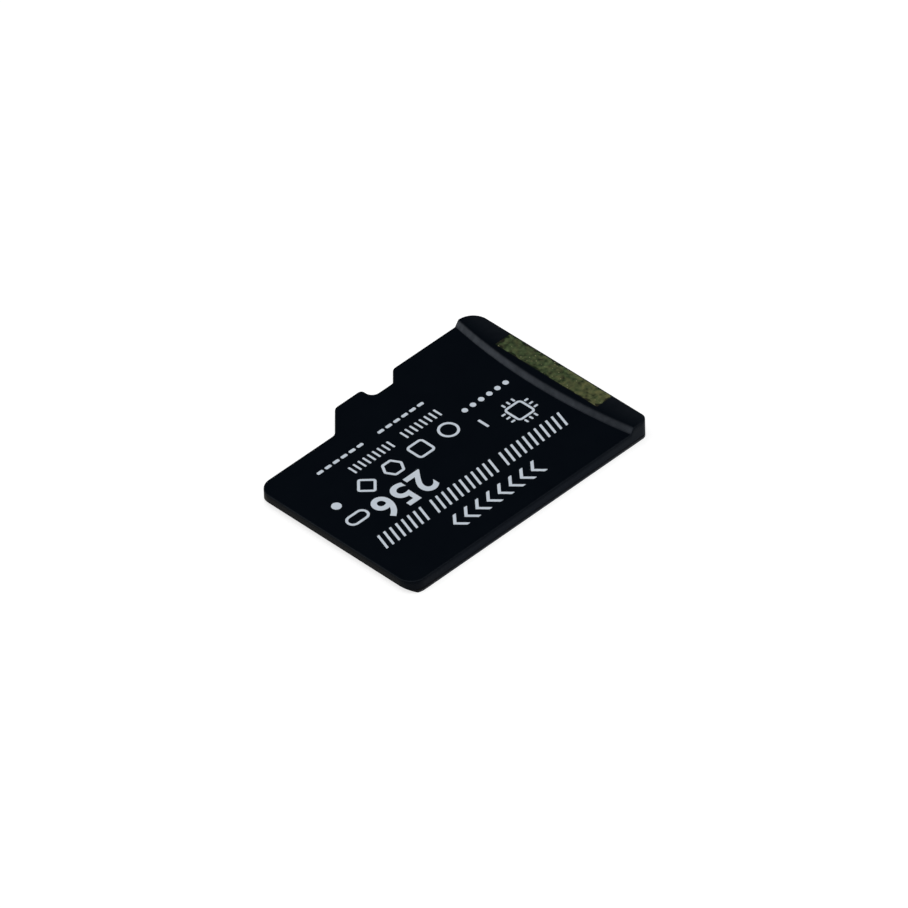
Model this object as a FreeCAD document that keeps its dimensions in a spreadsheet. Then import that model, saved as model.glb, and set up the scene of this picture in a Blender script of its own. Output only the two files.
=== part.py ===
import FreeCAD, Part
import math
import os
import Sketcher

# A micro memory card lying label side up.
# The origin is at the middle of its underside, +X points to the insertion end,
# -Y is the keyed side with the shoulder and the latch notch, and +Z is up.
doc = FreeCAD.newDocument("memory_card")

# Driving dimensions in millimetres
driving = {
    # overall card
    "card_length": 15.0,
    "card_width": 11.0,
    "body_thickness": 0.7,
    "lip_rise": 0.3,
    "board_thickness": 0.2,
    # keyed outline, measured back from the insertion end
    "shoulder_from_front": 6.23,
    "shoulder_step": 1.3,
    "notch_from_front": 7.9,
    "notch_floor": 1.3,
    "notch_depth": 0.7,
    "front_corner_radius": 0.8,
    "keyed_back_radius": 0.9,
    "plain_back_radius": 0.4,
    "shoulder_radius": 0.4,
    "notch_root_radius": 0.4,
    "notch_mouth_radius": 0.2,
    # finger lip across the back end, its ramp curved in plan
    "lip_depth": 1.64,
    "lip_arc_radius": 30.0,
    "lip_ramp": 0.22,
    "rim_radius": 0.05,
    # lead-in bevel under the insertion end
    "bevel_height": 0.27,
    "bevel_length": 0.45,
    # laser-marked field on top of the lip
    "mark_from_back": 0.06,
    "mark_width": 0.97,
    "mark_length": 6.36,
    "mark_offset": 0.11,
    "mark_depth": 0.01,
    # contact row in the underside
    "contact_margin": 0.6,
    "contact_gap": 0.3,
    "contact_from_front": 1.1,
    "contact_length": 2.9,
    "supply_lead": 0.3,
    "contact_thickness": 0.03,
    "contact_recess": 0.015,
    "contact_corner_radius": 0.2,
    "mask_gap": 0.05,
    # stacked memory dies
    "film_thickness": 0.02,
    "flash_length": 5.8,
    "flash_width": 7.4,
    "flash_thickness": 0.08,
    "flash_setback": 0.4,
    "flash_from_back": 0.7,
    # controller die
    "controller_length": 1.8,
    "controller_width": 2.8,
    "controller_thickness": 0.1,
    "controller_gap": 2.0,
    "controller_offset": 2.2,
    # ceramic capacitors beside the controller
    "capacitor_length": 0.6,
    "capacitor_width": 0.3,
    "capacitor_height": 0.3,
    "capacitor_terminal": 0.15,
    "terminal_skin": 0.01,
    "capacitor_clearance": 0.5,
    "capacitor_gap": 0.45,
    # bond wires
    "wire_width": 0.03,
    "wire_rise": 0.09,
    "wire_crest": 0.16,
    "wire_foot": 0.06,
    "bond_inset": 0.1,
    "wire_margin": 0.5,
    "finger_near": 0.45,
    "finger_far": 0.85,
}
sizes = doc.addObject("Spreadsheet::Sheet", "sizes")
for row, (alias, value) in enumerate(driving.items(), 1):
    cell = "A%d" % row
    sizes.set(cell, str(value))
    sizes.setAlias(cell, alias)
doc.recompute()

contact_count = 8
supply_contacts = ("contact_4", "contact_6")
capacitor_count = 4
flash_wire_count = 12
controller_wire_count = 7

# Formulas that several pieces share, in the alias names of the sheet
front_end = "sizes.card_length / 2"
back_end = "-sizes.card_length / 2"
plain_side = "sizes.card_width / 2"
keyed_side = "-sizes.card_width / 2"
keyed_front_side = keyed_side + " + sizes.shoulder_step"
board_top = "sizes.board_thickness"
lip_top = "sizes.body_thickness + sizes.lip_rise"
lower_film_top = board_top + " + sizes.film_thickness"
lower_die_top = lower_film_top + " + sizes.flash_thickness"
upper_film_top = lower_die_top + " + sizes.film_thickness"
upper_die_top = upper_film_top + " + sizes.flash_thickness"
controller_top = lower_film_top + " + sizes.controller_thickness"
upper_die_back = back_end + " + sizes.flash_from_back"
lower_die_back = upper_die_back + " + sizes.flash_setback"
upper_die_front = upper_die_back + " + sizes.flash_length"
lower_die_front = lower_die_back + " + sizes.flash_length"
controller_back = lower_die_front + " + sizes.controller_gap"
controller_front = controller_back + " + sizes.controller_length"


def new_sketch(body, name, role, lift=None):
    # An empty sketch on one of the body's own origin planes, raised along the plane's normal
    sketch = body.newObject("Sketcher::SketchObject", name)
    planes = [plane for plane in body.Origin.OriginFeatures if plane.Role == role]
    sketch.AttachmentSupport = [(planes[0], "")]
    sketch.MapMode = "FlatFace"
    if lift:
        sketch.setExpression("AttachmentOffset.Base.z", lift)
    return sketch


def add_polygon(sketch, corners):
    # A closed run of straight lines; each corner is held by a pair of formulas
    count = len(corners)
    first = sketch.GeometryCount
    ring = []
    for step in range(count):
        turn = 2 * math.pi * step / count
        ring.append(FreeCAD.Vector(math.cos(turn), math.sin(turn), 0))
    for step in range(count):
        sketch.addGeometry(Part.LineSegment(ring[step], ring[(step + 1) % count]), False)
    for step in range(count):
        following = first + (step + 1) % count
        sketch.addConstraint(Sketcher.Constraint("Coincident", first + step, 2, following, 1))
    for step, (across, along) in enumerate(corners):
        line = first + step
        held_x = sketch.addConstraint(Sketcher.Constraint("DistanceX", -1, 1, line, 1, ring[step].x))
        sketch.setExpression("Constraints[%d]" % held_x, across)
        held_y = sketch.addConstraint(Sketcher.Constraint("DistanceY", -1, 1, line, 1, ring[step].y))
        sketch.setExpression("Constraints[%d]" % held_y, along)
    doc.recompute()


def rectangle(low_x, high_x, low_y, high_y):
    return [(low_x, low_y), (high_x, low_y), (high_x, high_y), (low_x, high_y)]


def add_pad(body, name, sketch, length, both_ways=False):
    pad = body.newObject("PartDesign::Pad", name)
    pad.Profile = sketch
    pad.Midplane = both_ways
    pad.setExpression("Length", length)
    doc.recompute()
    return pad


def add_pocket(body, name, sketch, length, upwards=False, both_ways=False):
    # A cut that has to take something away
    before = body.Shape.Volume
    pocket = body.newObject("PartDesign::Pocket", name)
    pocket.Profile = sketch
    pocket.Midplane = both_ways
    pocket.Reversed = upwards
    pocket.setExpression("Length", length)
    doc.recompute()
    if not body.Shape.Volume < before:
        raise RuntimeError(name + " cuts nothing")
    return pocket


def upright_edges(shape, points):
    # Names of the vertical straight edges that stand over the given sketch points
    names = []
    for number, edge in enumerate(shape.Edges, 1):
        if edge.Curve.TypeId != "Part::GeomLine":
            continue
        start, end = edge.Vertexes[0].Point, edge.Vertexes[-1].Point
        if math.hypot(start.x - end.x, start.y - end.y) > 1e-6:
            continue
        if any(math.hypot(start.x - point.x, start.y - point.y) < 1e-5 for point in points):
            names.append("Edge%d" % number)
    return names


def round_corners(body, name, sketch, corners, radius):
    # A fillet along the upright edges at the numbered corners of a sketch
    base = body.Tip
    points = [sketch.Geometry[corner].StartPoint for corner in corners]
    fillet = body.newObject("PartDesign::Fillet", name)
    fillet.Base = (base, upright_edges(base.Shape, points))
    fillet.setExpression("Radius", radius)
    doc.recompute()
    return fillet


def rim_edges(shape):
    # Names of the edges where an upright wall meets a level face that looks up
    names = []
    for number, edge in enumerate(shape.Edges, 1):
        slopes = []
        for face in shape.ancestorsOfType(edge, Part.Face):
            low_u, high_u, low_v, high_v = face.ParameterRange
            slopes.append(face.normalAt((low_u + high_u) / 2, (low_v + high_v) / 2).z)
        if abs(min(slopes)) < 1e-6 and max(slopes) > 1 - 1e-6:
            names.append("Edge%d" % number)
    return names


def card_blank(body, floor, height):
    # The keyed outline of the card as a plate, with its ten corners rounded
    notch_front = front_end + " - sizes.notch_from_front"
    notch_back = notch_front + " - sizes.notch_floor"
    notch_line = keyed_side + " + sizes.notch_depth"
    shoulder = front_end + " - sizes.shoulder_from_front"
    outline = new_sketch(body, body.Name + "_outline", "XY_Plane", floor)
    add_polygon(outline, [
        (back_end, keyed_side),
        (notch_back + " - sizes.notch_depth", keyed_side),
        (notch_back, notch_line),
        (notch_front, notch_line),
        (notch_front, keyed_side),
        (shoulder, keyed_side),
        (shoulder + " + sizes.shoulder_step", keyed_front_side),
        (front_end, keyed_front_side),
        (front_end, plain_side),
        (back_end, plain_side),
    ])
    add_pad(body, body.Name + "_plate", outline, height)
    root_radius = "min(sizes.notch_root_radius; 0.6 * sizes.notch_depth)"
    mouth_radius = "min(sizes.notch_mouth_radius; 0.35 * sizes.notch_depth)"
    for name, corners, radius in (
        ("keyed_back", (0,), "sizes.keyed_back_radius"),
        ("plain_back", (9,), "sizes.plain_back_radius"),
        ("front", (7, 8), "sizes.front_corner_radius"),
        ("shoulder", (1, 5, 6), "sizes.shoulder_radius"),
        ("notch_root", (3,), root_radius),
        ("notch_mouth", (2, 4), mouth_radius),
    ):
        round_corners(body, body.Name + "_" + name, outline, corners, radius)


def cut_lead_in(body):
    # The sloping bevel across the underside of the insertion end
    wedge = new_sketch(body, body.Name + "_bevel_shape", "XZ_Plane")
    add_polygon(wedge, [
        (front_end + " - sizes.bevel_length", "0"),
        (front_end, "0"),
        (front_end, "sizes.bevel_height"),
    ])
    add_pocket(body, body.Name + "_bevel", wedge, "2 * sizes.card_width", both_ways=True)


def new_body(label):
    body = doc.addObject("PartDesign::Body", label)
    body.Label = label
    return body


def make_case_blank():
    # The moulding before anything is set into it: plate, finger lip, marked field and bevel
    body = new_body("case_blank")
    card_blank(body, board_top, lip_top + " - " + board_top)

    # The label face is turned down round a far axis, so the ramp of the lip is a cone
    profile = new_sketch(body, "lip_profile", "XZ_Plane")
    axis_place = back_end + " + sizes.lip_depth - sizes.lip_arc_radius"
    profile.setExpression("AttachmentOffset.Base.x", axis_place)
    beyond = "sizes.lip_arc_radius + sizes.card_length"
    above = lip_top + " + sizes.lip_rise"
    add_polygon(profile, [
        ("sizes.lip_arc_radius", "sizes.body_thickness"),
        (beyond, "sizes.body_thickness"),
        (beyond, above),
        ("sizes.lip_arc_radius - 2 * sizes.lip_ramp", above),
    ])
    before = body.Shape.Volume
    sweep = body.newObject("PartDesign::Groove", "label_face")
    sweep.Profile = profile
    sweep.ReferenceAxis = (profile, ["V_Axis"])
    sweep.Midplane = True
    sweep.Angle = 80
    doc.recompute()
    if not body.Shape.Volume < before:
        raise RuntimeError("label_face cuts nothing")

    rim = body.newObject("PartDesign::Fillet", "moulded_rim")
    rim.Base = (sweep, rim_edges(sweep.Shape))
    rim.setExpression("Radius", "sizes.rim_radius")
    doc.recompute()

    field = new_sketch(body, "mark_field", "XY_Plane", lip_top)
    field_back = back_end + " + sizes.mark_from_back"
    half_field = "sizes.mark_length / 2"
    add_polygon(field, rectangle(
        field_back,
        field_back + " + sizes.mark_width",
        "sizes.mark_offset - " + half_field,
        "sizes.mark_offset + " + half_field,
    ))
    add_pocket(body, "laser_mark", field, "sizes.mark_depth")
    cut_lead_in(body)
    return body


def contact_sides(number, spread):
    # The four sides of a contact, counted from the keyed side and grown all round by a spread
    row_width = "(sizes.card_width - sizes.shoulder_step - 2 * sizes.contact_margin)"
    pitch = "(%s + sizes.contact_gap) / %d" % (row_width, contact_count)
    low_y = "%s + sizes.contact_margin + %d * %s" % (keyed_front_side, number - 1, pitch)
    high_y = "%s + %s - sizes.contact_gap" % (low_y, pitch)
    high_x = front_end + " - sizes.contact_from_front"
    low_x = high_x + " - sizes.contact_length"
    if "contact_%d" % number in supply_contacts:
        high_x = high_x + " + sizes.supply_lead"
    return (
        low_x + " - " + spread,
        high_x + " + " + spread,
        low_y + " - " + spread,
        high_y + " + " + spread,
    )


def make_board():
    # The laminate under the moulding, with an opening in its mask for each contact
    body = new_body("substrate_board")
    card_blank(body, "0", board_top)
    openings = new_sketch(body, "mask_openings", "XY_Plane")
    for number in range(1, contact_count + 1):
        add_polygon(openings, rectangle(*contact_sides(number, "sizes.mask_gap")))
    depth = "sizes.contact_recess + sizes.contact_thickness"
    add_pocket(body, "mask_pockets", openings, depth, upwards=True)
    corners = range(openings.GeometryCount)
    round_corners(body, "mask_corners", openings, corners, "sizes.contact_corner_radius + sizes.mask_gap")
    cut_lead_in(body)
    return body


def make_contact(number):
    # One gold-plated finger, a little below the surface of the mask
    body = new_body("contact_%d" % number)
    pad = new_sketch(body, body.Name + "_sides", "XY_Plane", "sizes.contact_recess")
    add_polygon(pad, rectangle(*contact_sides(number, "0")))
    add_pad(body, body.Name + "_plate", pad, "sizes.contact_thickness")
    round_corners(body, body.Name + "_corners", pad, range(4), "sizes.contact_corner_radius")
    return body


def make_block(label, length, width, height, x, y, z):
    # A plain rectangular piece with its low corner at x, y, z
    block = doc.addObject("Part::Box", label)
    block.Label = label
    for name, formula in (
        ("Length", length),
        ("Width", width),
        ("Height", height),
        ("Placement.Base.x", x),
        ("Placement.Base.y", y),
        ("Placement.Base.z", z),
    ):
        block.setExpression(name, formula)
    return block


def make_dies():
    # Two stepped memory dies and the controller, each on its own adhesive film
    pieces = []
    flash_side = "-sizes.flash_width / 2"
    controller_side = "sizes.controller_offset - sizes.controller_width / 2"
    for film, die, kind, x, y, floor in (
        ("film_flash_lower", "flash_die_lower", "flash", lower_die_back, flash_side, board_top),
        ("film_flash_upper", "flash_die_upper", "flash", upper_die_back, flash_side, lower_die_top),
        ("film_controller", "controller_die", "controller", controller_back, controller_side, board_top),
    ):
        length = "sizes.%s_length" % kind
        width = "sizes.%s_width" % kind
        pieces.append(make_block(film, length, width, "sizes.film_thickness", x, y, floor))
        thickness = "sizes.%s_thickness" % kind
        die_floor = floor + " + sizes.film_thickness"
        pieces.append(make_block(die, length, width, thickness, x, y, die_floor))
    return pieces


def make_capacitor(number):
    # A ceramic block between two metal end caps that stand proud by the terminal skin
    label = "capacitor_%d" % number
    back = controller_back
    first_side = "sizes.controller_offset - sizes.controller_width / 2 - sizes.capacitor_clearance"
    side = "%s - %d * sizes.capacitor_width - %d * sizes.capacitor_gap" % (first_side, number, number - 1)
    ceramic = make_block(
        label + "_ceramic",
        "sizes.capacitor_length - 2 * sizes.terminal_skin",
        "sizes.capacitor_width - 2 * sizes.terminal_skin",
        "sizes.capacitor_height - sizes.terminal_skin",
        back + " + sizes.terminal_skin",
        side + " + sizes.terminal_skin",
        board_top,
    )
    ends = []
    far_end = back + " + sizes.capacitor_length - sizes.capacitor_terminal"
    for end, x in (("back", back), ("front", far_end)):
        ends.append(make_block(
            "%s_%s_end" % (label, end),
            "sizes.capacitor_terminal",
            "sizes.capacitor_width",
            "sizes.capacitor_height",
            x, side, board_top,
        ))
    capacitor = doc.addObject("Part::MultiFuse", label)
    capacitor.Label = label
    capacitor.Shapes = [ceramic] + ends
    capacitor.Refine = True
    return capacitor


def make_wire_row(label, edge, die_top, reach, forward, low_y, span, count):
    # A row of bond wires, each rising from a die, bending over its edge and dropping to the board
    way = "+" if forward else "-"
    back_way = "-" if forward else "+"
    bond = "%s %s sizes.bond_inset" % (edge, back_way)
    crest = "%s %s sizes.wire_crest" % (bond, way)
    finger = "%s %s %s" % (edge, way, reach)
    half = "sizes.wire_width / 2"
    ridge = "%s + sizes.wire_rise" % die_top
    foot = "%s + sizes.wire_foot" % board_top
    near_bond = "%s %s %s" % (bond, way, half)
    far_bond = "%s %s %s" % (bond, back_way, half)
    near_finger = "%s %s %s" % (finger, back_way, half)
    far_finger = "%s %s %s" % (finger, way, half)
    body = new_body(label)
    body.AllowCompound = True
    loop = new_sketch(body, label + "_loop", "XZ_Plane", "-(%s)" % low_y)
    add_polygon(loop, [
        (far_bond, die_top),
        (near_bond, die_top),
        (near_bond, "%s - %s" % (ridge, half)),
        (crest, "%s - %s" % (ridge, half)),
        (near_finger, "%s - %s" % (foot, half)),
        (near_finger, board_top),
        (far_finger, board_top),
        (far_finger, "%s + %s" % (foot, half)),
        (crest, "%s + %s" % (ridge, half)),
        (far_bond, "%s + %s" % (ridge, half)),
    ])
    wire = add_pad(body, label + "_wire", loop, "sizes.wire_width", both_ways=True)
    row = body.newObject("PartDesign::LinearPattern", label + "_row")
    row.Originals = [wire]
    row.Direction = (loop, ["N_Axis"])
    row.Reversed = True
    row.Occurrences = count
    row.setExpression("Length", span)
    body.Tip = row
    doc.recompute()
    return body


def make_wires():
    # The two memory dies are bonded at their front edges, the controller at front and back
    flash_low = "-sizes.flash_width / 2 + sizes.wire_margin"
    flash_span = "sizes.flash_width - 2 * sizes.wire_margin"
    between = "(%s) / %d" % (flash_span, 2 * (flash_wire_count - 1))
    controller_margin = "sizes.wire_margin / 2"
    controller_low = "sizes.controller_offset - sizes.controller_width / 2 + " + controller_margin
    controller_span = "sizes.controller_width - 2 * " + controller_margin
    return [
        make_wire_row("bond_wires_flash_lower", lower_die_front, lower_die_top, "sizes.finger_near",
                      True, flash_low, flash_span, flash_wire_count),
        make_wire_row("bond_wires_flash_upper", upper_die_front, upper_die_top,
                      "sizes.flash_setback + sizes.finger_far", True, flash_low + " + " + between,
                      "%s - 2 * %s" % (flash_span, between), flash_wire_count - 1),
        make_wire_row("bond_wires_controller_front", controller_front, controller_top,
                      "sizes.finger_near", True, controller_low, controller_span, controller_wire_count),
        make_wire_row("bond_wires_controller_back", controller_back, controller_top,
                      "sizes.finger_near", False, controller_low, controller_span, controller_wire_count),
    ]


board = make_board()
contacts = [make_contact(number) for number in range(1, contact_count + 1)]
dies = make_dies()
capacitors = [make_capacitor(number) for number in range(1, capacitor_count + 1)]
wires = make_wires()
blank = make_case_blank()

# The moulding flows round everything on the board, so the case is the blank less those pieces
buried = doc.addObject("Part::MultiFuse", "buried_pieces")
buried.Shapes = dies + capacitors + wires
case = doc.addObject("Part::Cut", "moulded_case")
case.Label = "moulded_case"
case.Base = blank
case.Tool = buried
doc.recompute()

pieces = [case, board] + contacts + dies + capacitors + wires
for item in doc.Objects:
    if "Invalid" in item.State or "Error" in item.State:
        raise RuntimeError("%s did not build: %s" % (item.Label, item.State))
for piece in pieces:
    if piece.Shape.isNull() or not piece.Shape.isValid():
        raise RuntimeError(piece.Label + " has no valid shape")

os.makedirs("parts", exist_ok=True)
for piece in pieces:
    piece.Shape.exportStep("parts/%s.step" % piece.Label)
    box = piece.Shape.BoundBox
    print("%-28s solids %2d  volume %9.5f  z %.3f to %.3f" % (
        piece.Label, len(piece.Shape.Solids), piece.Shape.Volume, box.ZMin, box.ZMax))
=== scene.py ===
import math
import bpy
import numpy as np
from mathutils import Matrix, Vector
from mathutils.geometry import delaunay_2d_cdt


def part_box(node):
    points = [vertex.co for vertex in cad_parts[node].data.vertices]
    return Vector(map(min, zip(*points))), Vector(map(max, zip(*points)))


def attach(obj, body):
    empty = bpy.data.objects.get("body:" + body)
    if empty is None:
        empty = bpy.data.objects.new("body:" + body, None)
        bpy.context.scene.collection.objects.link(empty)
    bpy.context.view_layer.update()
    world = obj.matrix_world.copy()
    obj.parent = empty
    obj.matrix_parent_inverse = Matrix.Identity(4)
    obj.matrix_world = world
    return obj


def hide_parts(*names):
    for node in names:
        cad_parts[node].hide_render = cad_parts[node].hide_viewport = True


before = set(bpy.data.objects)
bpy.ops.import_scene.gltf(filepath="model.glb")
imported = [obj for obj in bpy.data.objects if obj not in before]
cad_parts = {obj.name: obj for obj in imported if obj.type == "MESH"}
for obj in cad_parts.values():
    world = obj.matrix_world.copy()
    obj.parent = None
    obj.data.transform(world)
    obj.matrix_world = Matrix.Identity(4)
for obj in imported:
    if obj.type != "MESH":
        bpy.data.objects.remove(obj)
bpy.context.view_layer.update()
scene = bpy.context.scene
mm = 0.001  # in metres; card sizes are in millimetres
quarterTurn = math.pi / 2
weldStep = 1e-6  # points nearer than this become one
samePlace = 1e-7  # points nearer than this to a line lie on it
fillTolerance = 1e-9
noiseMiddle = 0.5  # the level that noise swings about
white = (1.0, 1.0, 1.0, 1.0)
print("frame loaded:", len(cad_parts), "nodes")


# Outlines: flat closed paths in millimetres, walked counter-clockwise seen from above

# Corner fractions: evenly spaced stops from 0 to 1 along each corner's arc
def evenStops(corners, count):
    return np.tile(np.linspace(0.0, 1.0, count), (len(corners), 1))


# Rounded path: each corner becomes the arc of its own radius that touches both sides; a stop at
# fraction t is the first touching radius turned by t of the whole bend, and the outward normal
# turns with it
def roundedPath(corners, radii, stops):
    corners = np.asarray(corners, float)
    radii = np.broadcast_to(radii, len(corners))
    before = corners - np.roll(corners, 1, axis=0)
    before /= np.linalg.norm(before, axis=-1, keepdims=True)
    after = np.roll(before, -1, axis=0)
    cross = before[:, 0] * after[:, 1] - before[:, 1] * after[:, 0]
    bend = np.arctan2(cross, (before * after).sum(1))
    side = np.sign(bend)
    left = np.stack([-before[:, 1], before[:, 0]], 1)
    reach = radii * np.tan(np.abs(bend) / 2)
    centres = corners - before * reach[:, None] + left * (side * radii)[:, None]
    angle = bend[:, None] * stops
    cosine, sine = np.cos(angle), np.sin(angle)
    right = -left
    normalX = right[:, :1] * cosine - right[:, 1:] * sine
    normalY = right[:, :1] * sine + right[:, 1:] * cosine
    normals = np.stack([normalX, normalY], 2)
    points = centres[:, None, :] + normals * (side * radii)[:, None, None]
    return points, normals


# Closed loop: the rounded path as one run of points, with the outward normal at each
def loopOf(corners, radii, count):
    points, normals = roundedPath(corners, radii, evenStops(corners, count))
    return points.reshape(-1, 2), normals.reshape(-1, 2)


# Box corners: the four corners of a rectangle, counter-clockwise from its low corner
def boxCorners(lowX, highX, lowY, highY):
    return [(lowX, lowY), (highX, lowY), (highX, highY), (lowX, highY)]


# Square corners: the box that reaches as far from its middle on every side
def squareCorners(x, y, half):
    return boxCorners(x - half, x + half, y - half, y + half)


# Mesh building: rings and grids of points with faces, welded where they share a place

# Raised points: flat points with a height, one for all or one each, as third coordinate
def atHeight(points, height):
    return np.column_stack([points, np.broadcast_to(height, len(points))])


# Wall strip: ring after ring of the same length, joined by a quad at each step round the path
def ringFaces(ringCount, length, flip=False):
    ring, step = np.meshgrid(np.arange(ringCount - 1), np.arange(length), indexing="ij")
    following = (step + 1) % length
    corners = [ring * length + step, ring * length + following,
               (ring + 1) * length + following, (ring + 1) * length + step]
    faces = np.stack(corners, -1).reshape(-1, 4)
    return faces[:, ::-1] if flip else faces


# Sheet grid: rows by columns of points joined by quads, open on all sides
def gridFaces(rows, columns):
    row, column = np.meshgrid(np.arange(rows - 1), np.arange(columns - 1), indexing="ij")
    corners = [row * columns + column, row * columns + column + 1,
               (row + 1) * columns + column + 1, (row + 1) * columns + column]
    return np.stack(corners, -1).reshape(-1, 4)


# Inside test: a spot is inside when a line up from it crosses the loops an odd number of times
def insideLoops(spots, loops):
    first = np.concatenate(loops)
    second = np.concatenate([np.roll(loop, -1, axis=0) for loop in loops])
    x, y = spots[:, :1], spots[:, 1:]
    spans = (first[:, 0] > x) != (second[:, 0] > x)
    run = np.where(first[:, 0] == second[:, 0], 1.0, second[:, 0] - first[:, 0])
    crossing = first[:, 1] + (x - first[:, 0]) * (second[:, 1] - first[:, 1]) / run
    return (spans & (crossing > y)).sum(1) % 2 == 1


# Flat fill: the level region inside the first loop and outside the others, as triangles
def fillFaces(loops, height, down=False):
    points = np.concatenate(loops)
    starts = np.cumsum([0] + [len(loop) for loop in loops])
    edges = []
    for first, loop in zip(starts, loops):
        order = np.arange(len(loop))
        edges.extend(np.column_stack([first + order, first + np.roll(order, -1)]).tolist())
    insideOnly, faceList = 1, 2  # the kind of fill, and where its faces come back
    filled = delaunay_2d_cdt(points.tolist(), edges, [], insideOnly, fillTolerance)
    faces = np.array(filled[faceList])
    faces = faces[insideLoops(points[faces].mean(1), loops)]
    return atHeight(points, height), faces[:, ::-1] if down else faces


# New object: the given data under the given name, linked to the scene
def addObject(name, data):
    made = bpy.data.objects.new(name, data)
    scene.collection.objects.link(made)
    return made


# New piece: blocks of (points, faces, smooth, edge) in millimetres, welded to a nanometre and
# written in metres; "rim" holds how much paler each point is painted: rubbed edges that are partly
# painted highlight, painted sheen on the ramp and lip, and the laser field's paler grains
def newPiece(name, blocks, material):
    points = np.concatenate([block[0] for block in blocks])
    rim = np.concatenate([np.broadcast_to(block[3], len(block[0])) for block in blocks])
    keys = np.round(points / weldStep).astype(np.int64)
    _, firstSeen, welded = np.unique(keys, axis=0, return_index=True, return_inverse=True)
    welded = welded.ravel()
    faces, smooth, start = [], [], 0
    for blockPoints, blockFaces, blockSmooth, _ in blocks:
        rows = welded[np.asarray(blockFaces) + start]
        fresh = rows != np.roll(rows, 1, axis=1)
        whole = fresh.all(1)
        closing = zip(rows[~whole], fresh[~whole])  # a quad with a closed side becomes a triangle
        narrowed = [row[kept].tolist() for row, kept in closing if kept.sum() > 2]
        faces += rows[whole].tolist() + narrowed
        smooth += [blockSmooth] * (whole.sum() + len(narrowed))
        start += len(blockPoints)
    highest = np.zeros(len(firstSeen))
    np.maximum.at(highest, welded, rim)
    mesh = bpy.data.meshes.new(name)
    mesh.from_pydata((points[firstSeen] * mm).tolist(), [], faces)
    mesh.polygons.foreach_set("use_smooth", smooth)
    mesh.attributes.new("rim", "FLOAT", "POINT").data.foreach_set("value", highest)
    mesh.materials.append(material)
    mesh.validate()
    piece = addObject(name, mesh)
    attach(piece, "root")
    return piece


# Plate: a wall from its back height to its face, a quarter-round rim of the given radius and a
# flat cap at each end. A ring of the rim moves in by r(1 - cos a) and on by r sin a.
def plateBlocks(points, normals, backHeight, faceHeight, rimRadius, rimSteps):
    way = np.sign(faceHeight - backHeight)
    angles = np.linspace(0.0, quarterTurn, rimSteps + 1)
    inward = rimRadius * (1 - np.cos(angles))
    onward = faceHeight + way * rimRadius * (np.sin(angles) - 1)
    rings = [atHeight(points, backHeight)]
    for move, height in zip(inward, onward):
        rings.append(atHeight(points - normals * move, height))
    length = len(points)
    wall = np.concatenate(rings)
    edge = np.repeat(np.r_[0.0, np.sin(2 * angles)], length)
    flip = way < 0
    back = np.arange(length)
    cap = back + length * (len(rings) - 1)
    blocks = [(wall, ringFaces(len(rings), length, flip=flip), True, edge)]
    blocks.append((wall, [cap[::-1] if flip else cap], False, 0.0))
    blocks.append((wall, [back if flip else back[::-1]], False, 0.0))
    return blocks


# Band: the ring between a closed path moved out and in by half its stroke, raised to a flat top
def bandBlocks(points, normals, stroke, backHeight, faceHeight):
    outer, inner = points + normals * stroke / 2, points - normals * stroke / 2
    sides = ((outer, backHeight), (outer, faceHeight), (inner, faceHeight), (inner, backHeight),
             (outer, backHeight))
    rings = [atHeight(ring, height) for ring, height in sides]
    return [(np.concatenate(rings), ringFaces(len(rings), len(points)), False, 0.0)]


# Materials: helpers, two shared node groups and a finish for each kind of surface

# Node group: an empty shader tree with the numbers that go in and come out by name
def newGroup(name, inputs, outputs):
    group = bpy.data.node_groups.new(name, "ShaderNodeTree")
    addSocket = group.interface.new_socket
    for socketName, default in inputs:
        socket = addSocket(socketName, in_out="INPUT", socket_type="NodeSocketFloat")
        socket.default_value = default
    for socketName in outputs:
        addSocket(socketName, in_out="OUTPUT", socket_type="NodeSocketFloat")
    return group, group.nodes.new("NodeGroupInput"), group.nodes.new("NodeGroupOutput")


# One shader node of the given kind, with its settings filled in by name
def addNode(tree, kind, **values):
    node = tree.nodes.new("ShaderNode" + kind)
    for name, value in values.items():
        setattr(node, name, value)
    return node


# Socket values: plain numbers or colours for a node's inputs, by name
def setInputs(node, values):
    for name, value in values.items():
        node.inputs[name].default_value = value


# Arithmetic: one operation on two values, each a plain number or the output of another node
def mathNode(tree, operation, first, second, clamp=False):
    node = addNode(tree, "Math", operation=operation, use_clamp=clamp)
    for socket, value in zip(node.inputs, (first, second)):
        if isinstance(value, (int, float)):
            socket.default_value = value
        else:
            tree.links.new(value, socket)
    return node.outputs[0]


# Mixed colour: from the first to the second, each a plain colour or another node's, by the factor
def mixColours(tree, factor, first, second):
    node = addNode(tree, "Mix", data_type="RGBA")
    for socketName, colour in (("A", first), ("B", second)):
        if isinstance(colour, tuple):
            node.inputs[socketName].default_value = colour
        else:
            tree.links.new(colour, node.inputs[socketName])
    tree.links.new(factor, node.inputs["Factor"])
    return node.outputs["Result"]


# Own place: the spot's three coordinates in the object's space
def objectAxes(tree):
    axes = addNode(tree, "SeparateXYZ")
    place = addNode(tree, "TexCoord").outputs["Object"]
    tree.links.new(place, axes.inputs["Vector"])
    return axes.outputs


# Share of a span: 0 at the first length, 1 at the second and even between them
def spanShare(tree, value, span):
    share = addNode(tree, "MapRange")
    setInputs(share, {"From Min": span[0] * mm, "From Max": span[1] * mm})
    tree.links.new(value, share.inputs["Value"])
    return share.outputs["Result"]


# Noise: smooth random levels at the given place, so many to the millimetre
def addNoise(tree, place, rate):
    noise = addNode(tree, "TexNoise")
    tree.links.new(place, noise.inputs["Vector"])
    tree.links.new(mathNode(tree, "DIVIDE", rate, mm), noise.inputs["Scale"])
    return noise


grainShape = {
    "heightDetail": 3.0, "patchDetail": 2.0, "streakScale": (0.05, 1.0, 1.0), "speckReach": 0.3,
    "speckEdge": 6.0, "speckAbove": 0.82}


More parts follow.
